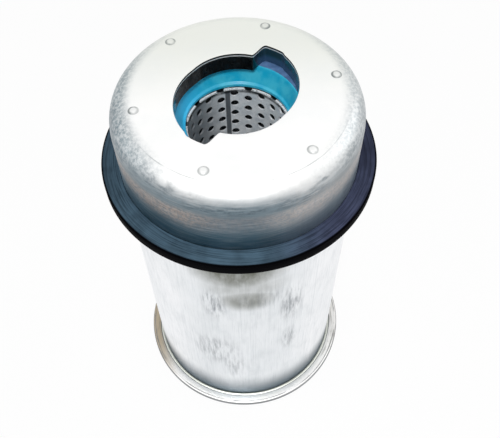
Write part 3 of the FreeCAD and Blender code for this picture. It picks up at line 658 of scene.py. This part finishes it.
def makeTopCap():
    foot, shelf, floor, size = capBox[0].z / mm, capBox[1].z / mm, sealBox[0].z / mm, topCap
    ceiling, lip = floor - size["ceilingDrop"], shelf - size["lip"]
    piece = lathe("moulded_cap", [
        (size["seamClear"], foot), (size["innerSkirt"], foot), (size["innerSkirt"], ceiling),
        (size["bore"], ceiling), (size["bore"], foot), (size["outer"], foot, 0.3),
        (size["outer"], floor, 1.5), (size["cupWall"], floor, 0.5), (size["cupWall"], shelf, 0.4),
        (size["neck"], shelf, 0.25), (size["neck"], lip), (size["cupBore"], lip),
        (size["cupBore"], floor), (size["seamClear"], floor)], size["steps"])
    finished(piece, slateNylon(), "top_end_cap")


def slateNylon():
    # Moulded nylon in dark slate blue, oily: satin with a fine orange peel and paler scuffs. The
    # short skirt round the tube is painted near-black as shade, where the tube's holes show it.
    material, tree = newMaterial("slate_nylon")
    peel = grain(tree, even, 0.7 * mm, 2)
    scuff = grain(tree, even, 5 * mm, 4)
    shadedSkirt = maths(tree, "LESS_THAN", places(tree)[3], topCap["shadeReach"] * mm)
    tone = blended(tree, fade(tree, scuff, 0.35, 0.7), "#46648F", "#6386B4")
    tone = blended(tree, shadedSkirt, tone, "#14171A")
    return dressed(material, peel, 0.03 * mm, 0.4, {"Base Color": tone, "Roughness": 0.36})


tube = {
    "columns": 22, "firstColumn": 81.6, "pitch": 6.1, "firstRow": 2.7, "hole": 1.8, "inner": 21.2,
    "sheet": 0.8, "holeSides": 16, "seamWidth": 2.4, "seamHeight": 0.8, "seamEdge": 0.3,
    "seamBlur": 0.25,  # width over which the seam's dark fades
    "spareRows": 2, "samePoint": 5e-6,  # metres within which the cells' corners are one
    "shadowEnd": (2.8, 1.6), "rimEnd": (0.85, 0.55),  # how far under the top they start and are full
    "shadeLeft": (-0.019, -0.002),  # metres
}


def squareCell(piece, across, upwards):
    # the last loop drawn round the hole goes out to the cell's border: to its corners, middles and
    # quarter points, which the cells of the next column share
    cage = bmesh.from_edit_mesh(piece.data)
    for vert in [vert for vert in cage.verts if vert.select]:
        reach = max(abs(vert.co.x), abs(vert.co.z))
        x, z = round(2 * vert.co.x / reach) / 4, round(2 * vert.co.z / reach) / 4
        vert.co.x, vert.co.z = x * across, z * upwards
    bmesh.update_edit_mesh(piece.data)


def seamTurn():
    # the seam lies between the first column of holes and the next
    return math.radians(tube["firstColumn"] + 180 / tube["columns"])


def addSeam(piece):
    # the folded seam, a bar with rounded edges that grows out of the sheet
    size, (low, high) = tube, tubeBox
    foot = (size["inner"] + size["sheet"] / 2) * mm
    crest = (size["inner"] + size["sheet"] + size["seamHeight"]) * mm
    out, turn = (foot + crest) / 2, seamTurn()
    bpy.ops.mesh.primitive_cube_add(size=1, rotation=(0, 0, turn), location=(
        out * math.cos(turn), out * math.sin(turn), (low.z + high.z) / 2), scale=(
        crest - foot, size["seamWidth"] * mm, high.z - low.z - 2 * size["seamEdge"] * mm))
    bar = bpy.context.object
    bpy.ops.object.transform_apply(location=True, rotation=True, scale=True)
    bpy.ops.object.mode_set(mode="EDIT")
    bpy.ops.mesh.select_all(action="SELECT")
    bpy.ops.mesh.bevel(offset=size["seamEdge"] * mm, segments=2, affect="EDGES")
    bpy.ops.object.mode_set(mode="OBJECT")
    joined = piece.modifiers.new("seam", "BOOLEAN")
    joined.object, joined.operation, joined.solver = bar, "UNION", "EXACT"
    activate(piece)
    for modifier in ("sheet", "seam"):
        bpy.ops.object.modifier_apply(modifier=modifier)
    bpy.data.objects.remove(bar)


def makeTube():
    # One square cell with a round hole, repeated down a column and sideways by turns half a cell
    # up, cut level at both ends, rolled up and given its sheet.
    size, low, high = tube, tubeBox[0].z, tubeBox[1].z
    radius, pitch = size["inner"] * mm, size["pitch"] * mm
    across = math.tau * radius / size["columns"]
    bpy.ops.mesh.primitive_circle_add(vertices=size["holeSides"], radius=size["hole"] * mm,
                                      rotation=(math.pi / 2, 0, 0))
    piece = bpy.context.object
    piece.name = "perforated_tube"
    bpy.ops.object.transform_apply(rotation=True)
    bpy.ops.object.mode_set(mode="EDIT")
    bpy.ops.mesh.select_all(action="SELECT")
    bpy.ops.mesh.extrude_edges_move()
    squareCell(piece, across, pitch)
    bpy.ops.mesh.select_all(action="SELECT")
    bpy.ops.transform.translate(value=(0, 0, high - size["firstRow"] * mm))
    bpy.ops.object.mode_set(mode="OBJECT")
    column = piece.modifiers.new("column", "ARRAY")
    column.use_relative_offset, column.use_constant_offset = False, True
    column.constant_offset_displace = (0, 0, -pitch)
    column.count = math.ceil((high - low) / pitch) + size["spareRows"]
    bpy.ops.object.modifier_apply(modifier="column")
    bpy.ops.object.mode_set(mode="EDIT")
    bpy.ops.mesh.select_all(action="SELECT")
    for place in range(1, size["columns"]):
        up = pitch / 2 if place % 2 else -pitch / 2
        bpy.ops.mesh.duplicate_move(TRANSFORM_OT_translate={"value": (across, 0, up)})
    cleanUp(size["samePoint"])
    for level, above in ((high, True), (low, False)):
        bpy.ops.mesh.select_all(action="SELECT")
        bpy.ops.mesh.bisect(plane_co=(0, 0, level), plane_no=(0, 0, 1), clear_outer=above,
                            clear_inner=not above)
    bpy.ops.object.mode_set(mode="OBJECT")
    for vert in piece.data.vertices:
        turn = vert.co.x / radius + math.radians(size["firstColumn"])
        vert.co.x, vert.co.y = radius * math.cos(turn), radius * math.sin(turn)
    bpy.ops.object.mode_set(mode="EDIT")
    cleanUp(size["samePoint"])
    bpy.ops.object.mode_set(mode="OBJECT")
    outwards = sum(face.normal.xy.dot(face.center.xy) for face in piece.data.polygons) > 0
    wall = piece.modifiers.new("sheet", "SOLIDIFY")
    wall.thickness, wall.offset = size["sheet"] * mm, 1 if outwards else -1
    addSeam(piece)
    finished(piece, perforatedSteel(), "centre_tube", smooth=40)


def perforatedSteel():
    # Tinned steel sheet, perforated and rolled: bluish grey and dull under an oil film, painted shade to
    # the left, a dark folded seam, and a nicked bright cut edge over a painted band of shadow at the top.
    material, tree = newMaterial("perforated_tinplate")
    x, y, z = places(tree)[:3]
    film = grain(tree, even, 4 * mm, 4)
    fine = grain(tree, even, 0.6 * mm)
    turn, half = seamTurn(), tube["seamWidth"] / 2 * mm
    across = towards(tree, x, y, Vector((-math.sin(turn), math.cos(turn), 0)))
    ahead = towards(tree, x, y, Vector((math.cos(turn), math.sin(turn), 0)))
    inner = half - tube["seamBlur"] * mm
    seam = product(tree, fade(tree, maths(tree, "ABSOLUTE", across), inner, half, 1, 0),
                   maths(tree, "GREATER_THAN", ahead, 0), 0.85)
    # a painted band of shadow under the seal's lip, and the bright cut edge over it
    band, edge = (fade(tree, z, *(tubeBox[1].z - depth * mm for depth in tube[name]))
                  for name in ("shadowEnd", "rimEnd"))
    tone = blended(tree, fade(tree, film, 0.35, 0.7), "#F4F7F9", "#DAE0E5")
    tone = layered(tree, tone,
                   (fade(tree, towards(tree, x, y, rightSide), *tube["shadeLeft"], 0.8, 0), "#535B63"),
                   (fade(tree, fine, 0.56, 0.75, 0, 0.35), "#4C565F"), (seam, "#27333D"),
                   (product(tree, band, fade(tree, film, 0.3, 0.6, 0.5, 0.95)), "#1B2124"),
                   (product(tree, edge, fade(tree, fine, 0.34, 0.46)), "#FFFFFF"))
    return dressed(material, fine, 0.05 * mm, 0.5, {
        "Base Color": tone, "Metallic": 0.1, "Roughness": 0.4})


plate = {
    "collar": 21.5, "sheet": 1.0, "step": 46.0, "rise": 6.0, "collarTop": 11.0, "rim": 58.4,
    "hemTop": 3.5, "hemInner": 53.4, "bend": 0.5, "steps": 256,
    "inletRadius": 6.0, "inletPitch": 36.7, "inletCount": 8, "inletSides": 48,
    # spans of its finish, and lines as (distance from the axis, half width), all in metres
    "tanLeft": (-0.055, -0.038), "paleRight": (0.047, 0.058), "grooveSides": (0.040, 0.056),
    "outerBend": (0.0577, 0.0581), "hemLine": (0.0534, 0.0003), "wornLine": (0.0570, 0.0003),
}


def makePlate():
    size = plate
    sheet, inside = size["sheet"], size["bend"]
    outside = inside + sheet
    piece = lathe("base_pan", [
        (size["collar"], size["collarTop"], 0.3), (size["collar"], size["rise"], outside),
        (size["step"], size["rise"], inside), (size["step"], 0, outside), (size["rim"], 0, outside),
        (size["rim"], size["hemTop"], outside), (size["hemInner"], size["hemTop"], 0.3),
        (size["hemInner"], size["hemTop"] - sheet, 0.3),
        (size["rim"] - sheet, size["hemTop"] - sheet, inside), (size["rim"] - sheet, sheet, inside),
        (size["step"] + sheet, sheet, inside), (size["step"] + sheet, size["rise"] + sheet, outside),
        (size["collar"] + sheet, size["rise"] + sheet, inside),
        (size["collar"] + sheet, size["collarTop"], 0.3)], size["steps"])
    for place in range(size["inletCount"]):
        angle = math.tau * place / size["inletCount"]
        spot = (size["inletPitch"] * mm * math.cos(angle), size["inletPitch"] * mm * math.sin(angle),
                (size["rise"] + sheet / 2) * mm)
        bpy.ops.mesh.primitive_cylinder_add(vertices=size["inletSides"], depth=3 * sheet * mm,
                                            radius=size["inletRadius"] * mm, location=spot)
        cutter = bpy.context.object
        hole = piece.modifiers.new("inlet", "BOOLEAN")
        hole.object, hole.operation, hole.solver = cutter, "DIFFERENCE", "EXACT"
        activate(piece)
        bpy.ops.object.modifier_apply(modifier="inlet")
        bpy.data.objects.remove(cutter)
    finished(piece, passivatedSteel(), "base_plate")


def passivatedSteel():
    # Zinc-plated steel with a thin yellow passivation: nearly white, tan towards the left and greyer
    # towards the right, with fine turning lines, dull spots, painted shade on the bends and a painted
    # shadow line by the rim's edge.
    material, tree = newMaterial("passivated_zinc")
    x, y, _, out = places(tree)
    rings = turnedGrain(tree, 0.5 * mm, 0.05, 4)
    patch = grain(tree, even, 16 * mm, 4)
    spot = grain(tree, even, 1.2 * mm)
    aside = towards(tree, x, y, rightSide)
    sides = fade(tree, maths(tree, "ABSOLUTE", aside), *plate["grooveSides"], 0.05, 0.8)
    # painted shade on the outer bend and along the hem's inner edge
    bend = maths(tree, "MAXIMUM", fade(tree, out, *plate["outerBend"]),
                 maths(tree, "COMPARE", out, *plate["hemLine"]))
    # a broken dark line near the rim's outer edge: painted shadow at the hem's edge
    worn = product(tree, maths(tree, "COMPARE", out, *plate["wornLine"]),
                   fade(tree, patch, 0.42, 0.58, 0.15, 0.75))
    tone = blended(tree, fade(tree, patch, 0.4, 0.65, 0, 0.3), "#FFFFFE", "#F6F5EE")
    tone = layered(tree, tone, (fade(tree, aside, *plate["tanLeft"], 0.9, 0), "#A8987C"),
                   (fade(tree, aside, *plate["paleRight"], 0, 0.6), "#D4D2CE"),
                   (product(tree, sides, fade(tree, rings, 0.50, 0.66)), "#85837D"),
                   (fade(tree, spot, 0.62, 0.75, 0, 0.4), "#7E7B70"),
                   (maths(tree, "MAXIMUM", product(tree, bend, 0.9), worn), "#74777A"))
    return dressed(material, rings, 0.05 * mm, 0.5, {
        "Base Color": tone, "Metallic": 0.5, "Roughness": fade(tree, patch, 0.3, 0.7, 0.34, 0.48)})


wireSides, turnSteps = 14, 48  # corners of a wire's section, and steps in one turn of a coil
springs = {
    "element_spring": {"name": "element_coil", "box": coilBox, "wire": 2.4, "turns": 2.5},
    "bypass_spring": {"name": "bypass_coil", "box": valveCoilBox, "wire": 1.5, "turns": 5},
}


def makeSpring(node, material):
    # a ring of wire section, wound up by the screw modifier and closed at its ends
    size = springs[node]
    low, high = size["box"]
    thick = size["wire"] / 2 * mm
    bpy.ops.mesh.primitive_circle_add(vertices=wireSides, radius=thick, rotation=(math.pi / 2, 0, 0),
                                      location=(high.x - thick, 0, low.z + thick))
    piece = bpy.context.object
    piece.name = size["name"]
    bpy.ops.object.transform_apply(location=True, rotation=True)
    coil = piece.modifiers.new("coil", "SCREW")
    coil.angle, coil.screw_offset = size["turns"] * math.tau, high.z - low.z - 2 * thick
    coil.steps = coil.render_steps = round(turnSteps * size["turns"])
    bpy.ops.object.modifier_apply(modifier="coil")
    bpy.ops.object.mode_set(mode="EDIT")
    bpy.ops.mesh.select_all(action="SELECT")
    bpy.ops.mesh.fill_holes(sides=0)
    cleanUp()
    bpy.ops.object.mode_set(mode="OBJECT")
    return finished(piece, material, node, smooth=50)


def plainMetal(name, pale, dark, size, roughness, metallic=1.0):
    # a metal with cloudy wear between two tones and fine turning lines
    material, tree = newMaterial(name)
    cloud = grain(tree, even, size, 4)
    rings = turnedGrain(tree, 0.4 * mm, 0.06)
    tone = blended(tree, fade(tree, cloud, 0.35, 0.7), pale, dark)
    tone = blended(tree, fade(tree, rings, 0.52, 0.72, 0, 0.4), tone, dark)
    return dressed(material, rings, 0.04 * mm, 0.4, {
        "Base Color": tone, "Metallic": metallic, "Roughness": roughness})


def plainCompound(name, pale, dark, size, roughness, stretch=even):
    # a moulded, cast or felted stuff with cloudy wear between two tones and a fine skin
    material, tree = newMaterial(name)
    cloud = grain(tree, stretch, size, 5, 0.65)
    skin = grain(tree, even, 0.5 * mm)
    return dressed(material, skin, 0.06 * mm, 0.6, {
        "Base Color": blended(tree, fade(tree, cloud, 0.3, 0.7), pale, dark), "Roughness": roughness})


def dressNodes():
    # finishes for the solids that stay as they are
    tinned = plainMetal("pressed_tinplate", "#B9BEC2", "#8A9096", 8 * mm, 0.38)
    turned = plainMetal("turned_steel", "#A9ADB0", "#6E7276", 4 * mm, 0.3)
    brass = plainMetal("turned_brass", "#D2B46A", "#A0823F", 5 * mm, 0.3)
    cast = plainCompound("cast_epoxy", "#A3906B", "#7D6A48", 7 * mm, 0.4)
    fibre = plainCompound("glass_fibre_fleece", "#E6E1CF", "#C9C1A5", 3 * mm, 0.9, (1, 1, 0.2))
    woven = plainMetal("woven_wire", "#5C6166", "#2B2F33", 1 * mm, 0.5, 0.8)
    strip = plainCompound("polyester_strip", "#F0EFE9", "#D8D6CC", 6 * mm, 0.5)
    black = plainCompound("black_gasket", "#121415", "#26292B", 3 * mm, 0.6)
    finishes = {
        "bottom_end_cap": tinned, "bypass_cage": tinned, "bypass_seat": brass, "bypass_poppet": turned,
        "gasket_washer": turned, "bypass_gasket": black, "top_potting": cast, "bottom_potting": cast,
        "pleated_media": fibre, "support_mesh": woven, "pleat_bands": strip,
    }
    for node, material in finishes.items():
        for slot in bpy.data.objects[node].material_slots:
            slot.material = material


camera = {
    "lens": 47.56, "sensor": 36.0, "distance": 188.83, "height": 386.96,  # millimetres
    "down": 55.627, "yaw": -1.3127, "roll": -0.9769, "about": -11.4,  # degrees; about: round the part
    "clipStart": 0.01,  # metres
}


def makeCamera():
    size = camera
    about = Matrix.Rotation(math.radians(size["about"]), 4, "Z")
    place = Matrix.Translation((0, -size["distance"] * mm, size["height"] * mm))
    aim = (Matrix.Rotation(math.radians(size["yaw"]), 4, "Z")
           @ Matrix.Rotation(math.radians(90 - size["down"]), 4, "X")
           @ Matrix.Rotation(math.radians(size["roll"]), 4, "Z"))
    lens = bpy.data.cameras.new("camera")
    lens.lens, lens.sensor_width, lens.clip_start = size["lens"], size["sensor"], size["clipStart"]
    view = bpy.data.objects.new("camera", lens)
    bpy.context.scene.collection.objects.link(view)
    view.matrix_world = about @ place @ aim
    bpy.context.scene.camera = view


studio = {
    "floorSize": 6.0, "floorDrop": 0.05 * mm, "floorGlow": 0.9, "ambient": 0.52,
    "paper": "#F4F4F4", "paperRoughness": 0.9, "aimHeight": 0.15,
    "lamps": {  # place in metres, watts, width in metres
        "flash_light": ((-0.32, -0.96, 1.72), 18.4, 0.32),
        "right_light": ((0.80, 0.05, 0.55), 0.7, 0.5),
        "left_light": ((-0.80, 0.10, 0.40), 0.4, 0.5),
    },
}


def seenDirectly(tree):
    # 1 for what the camera, a mirror or a glass shows
    path = addNode(tree, "ShaderNodeLightPath").outputs
    shown = maths(tree, "ADD", path["Is Camera Ray"], path["Is Glossy Ray"])
    return maths(tree, "ADD", shown, path["Is Transmission Ray"], clamp=True)


def makeFloor():
    bpy.ops.mesh.primitive_plane_add(size=studio["floorSize"], location=(0, 0, -studio["floorDrop"]))
    floor = bpy.context.object
    floor.name = "studio_floor"
    material, tree = newMaterial("white_paper")
    shader = tree.nodes["Principled BSDF"]
    setInputs(tree, shader, {
        "Base Color": toLinear(studio["paper"]), "Roughness": studio["paperRoughness"]})
    glow = addNode(tree, "ShaderNodeEmission", {"Color": (1, 1, 1, 1), "Strength": 1.0}).outputs[0]
    share = product(tree, seenDirectly(tree), studio["floorGlow"])
    both = addNode(tree, "ShaderNodeMixShader", {0: share, 1: shader.outputs[0], 2: glow}).outputs[0]
    tree.links.new(both, tree.nodes["Material Output"].inputs["Surface"])
    floor.data.materials.append(material)


def makeStudio():
    makeFloor()
    world = bpy.data.worlds.new("studio")
    bpy.context.scene.world = world
    world.use_nodes = True
    tree = world.node_tree
    setInputs(tree, tree.nodes["Background"], {
        "Color": (1, 1, 1, 1), "Strength": fade(tree, seenDirectly(tree), 0, 1, studio["ambient"], 1)})
    aim = Vector((0, 0, studio["aimHeight"]))
    for name, (spot, power, size) in studio["lamps"].items():
        lamp = bpy.data.lights.new(name, "AREA")
        lamp.energy, lamp.size = power, size
        holder = bpy.data.objects.new(name, lamp)
        bpy.context.scene.collection.objects.link(holder)
        holder.location = spot
        holder.rotation_euler = (aim - Vector(spot)).to_track_quat("-Z", "Y").to_euler()
    bpy.context.scene.view_settings.view_transform = "Standard"


makeCamera()
makeStudio()
print("camera and studio set")
makeShell()
makeRing()
makeSeal()
makeBayonet()
makeTopCap()
makeTube()
makePlate()
wire = plainMetal("oiled_spring_wire", "#6E7276", "#3C3F43", 3 * mm, 0.34)
makeSpring("element_spring", wire)
bypassCoil = makeSpring("bypass_spring", wire)
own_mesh(bypassCoil)
dressNodes()
print("pieces and finishes done")
